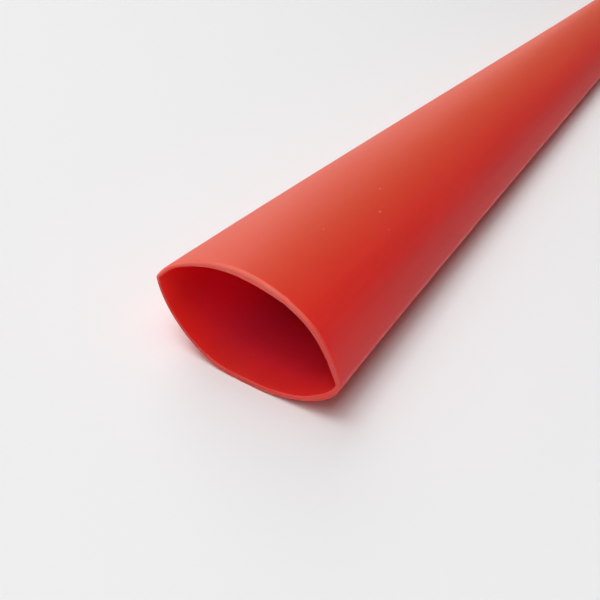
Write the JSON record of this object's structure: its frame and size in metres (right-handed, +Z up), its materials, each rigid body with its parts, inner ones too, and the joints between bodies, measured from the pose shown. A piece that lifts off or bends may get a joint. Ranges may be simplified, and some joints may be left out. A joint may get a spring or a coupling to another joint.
{
  "type": "heat shrink tube",
  "caption": "Straight length of thin-walled red plastic sleeve, pressed to an almond section with two fold lines and cut square at both ends, open right through.",
  "frame": {"origin": "on the floor plane under the middle of the tube's length and width", "axes": "+Y along the tube, away from the end that faces the viewer; +Z up from the floor it lies on; -X towards the upper fold line"},
  "size_m": [0.0347, 1, 0.0196],
  "materials": {
    "red_polyolefin": "extruded and expanded polyolefin, satin, pigmented red right through the wall"
  },
  "bodies": {
    "root": {"heat_shrink_tube": "red_polyolefin"}
  },
  "joints": []
}
